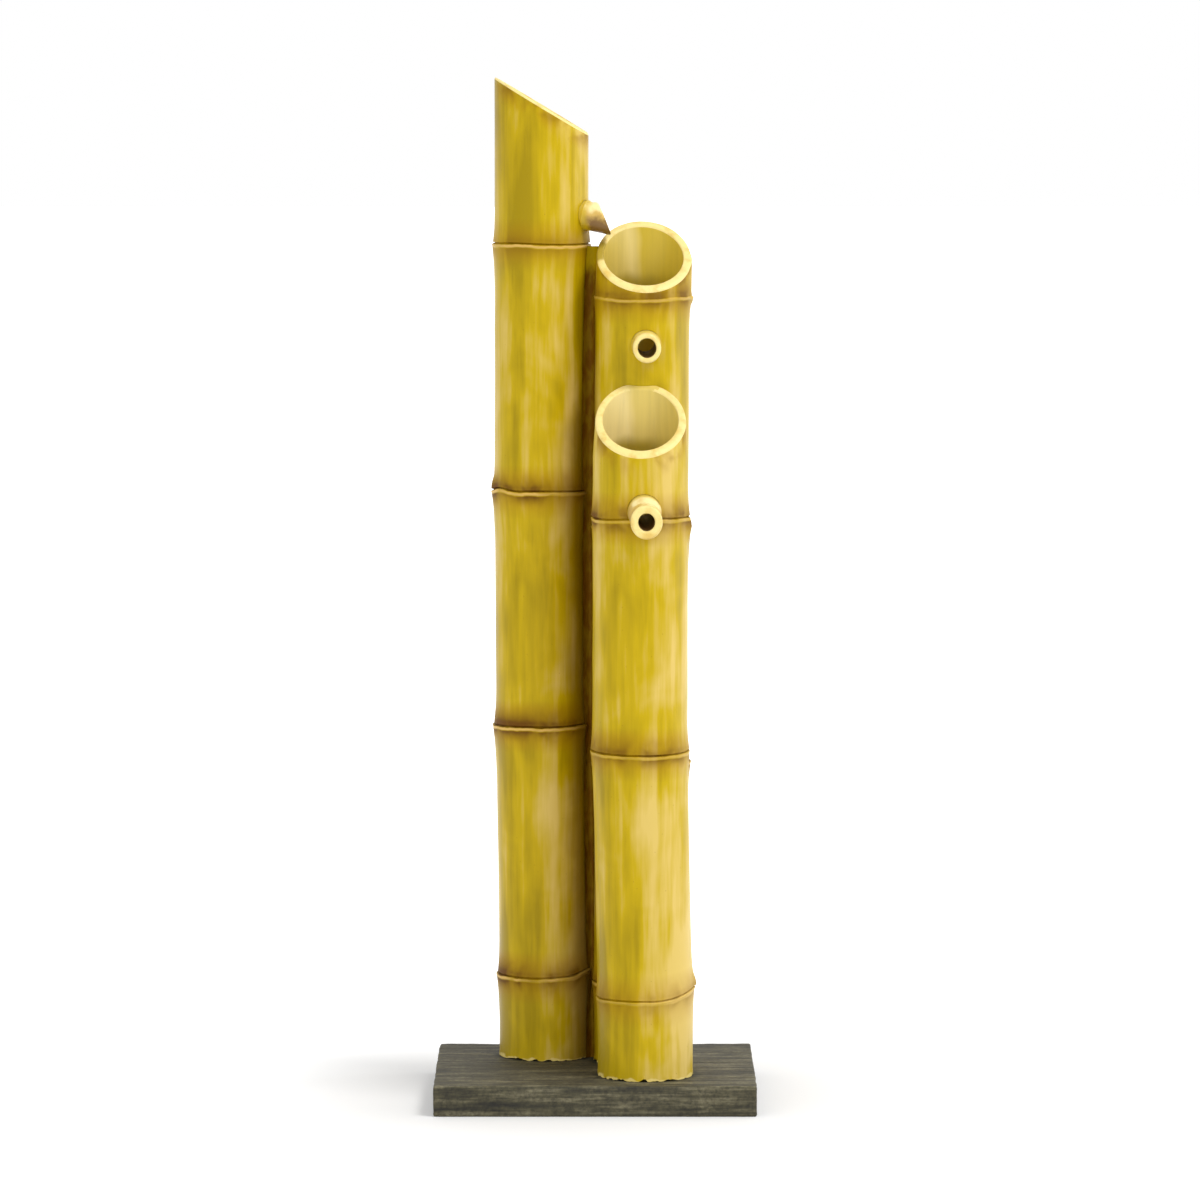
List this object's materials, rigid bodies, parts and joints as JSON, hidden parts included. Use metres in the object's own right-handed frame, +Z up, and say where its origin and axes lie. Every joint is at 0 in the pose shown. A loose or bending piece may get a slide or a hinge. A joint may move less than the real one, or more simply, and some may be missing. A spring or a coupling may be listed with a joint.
{
  "type": "bamboo fountain",
  "caption": "Garden water feature: upright bamboo culms on a timber slab, each lower cup fed by the spout above it, with a hose inside the tallest culm.",
  "frame": {"origin": "centre of the slab's underside", "axes": "+Z up, -Y towards the viewer, on the side where the front spout points; +X to the viewer's right"},
  "size_m": [0.188, 0.1752, 0.6],
  "materials": {
    "culm_bamboo": "satin, streaked yellow-olive with cream rims",
    "spout_bamboo": "satin, tan to brown",
    "slab_timber": "matt weathered grey-brown",
    "web_filler": "matt brown filler",
    "plug_timber": "bare sawn",
    "hose_vinyl": "smooth black vinyl",
    "fitting_plastic": "moulded black",
    "gasket_rubber": "matt black",
    "clip_steel": "stainless band",
    "screw_steel": "stainless"
  },
  "bodies": {
    "root": {"base_slab": "slab_timber", "tall_culm": "culm_bamboo", "middle_culm": "culm_bamboo", "front_culm": "culm_bamboo", "tall_spout": "spout_bamboo", "middle_spout": "spout_bamboo", "front_spout": "spout_bamboo", "middle_cup_floor": "plug_timber", "tall_foot_plug": "plug_timber", "middle_foot_plug": "plug_timber", "front_foot_plug": "plug_timber", "foot_screws": "screw_steel", "riser_hose": "hose_vinyl", "inlet_elbow": "fitting_plastic", "inlet_spigot": "fitting_plastic", "inlet_gasket": "gasket_rubber", "outlet_elbow": "fitting_plastic", "hose_clips": "clip_steel", "culm_web": "web_filler"}
  },
  "joints": []
}
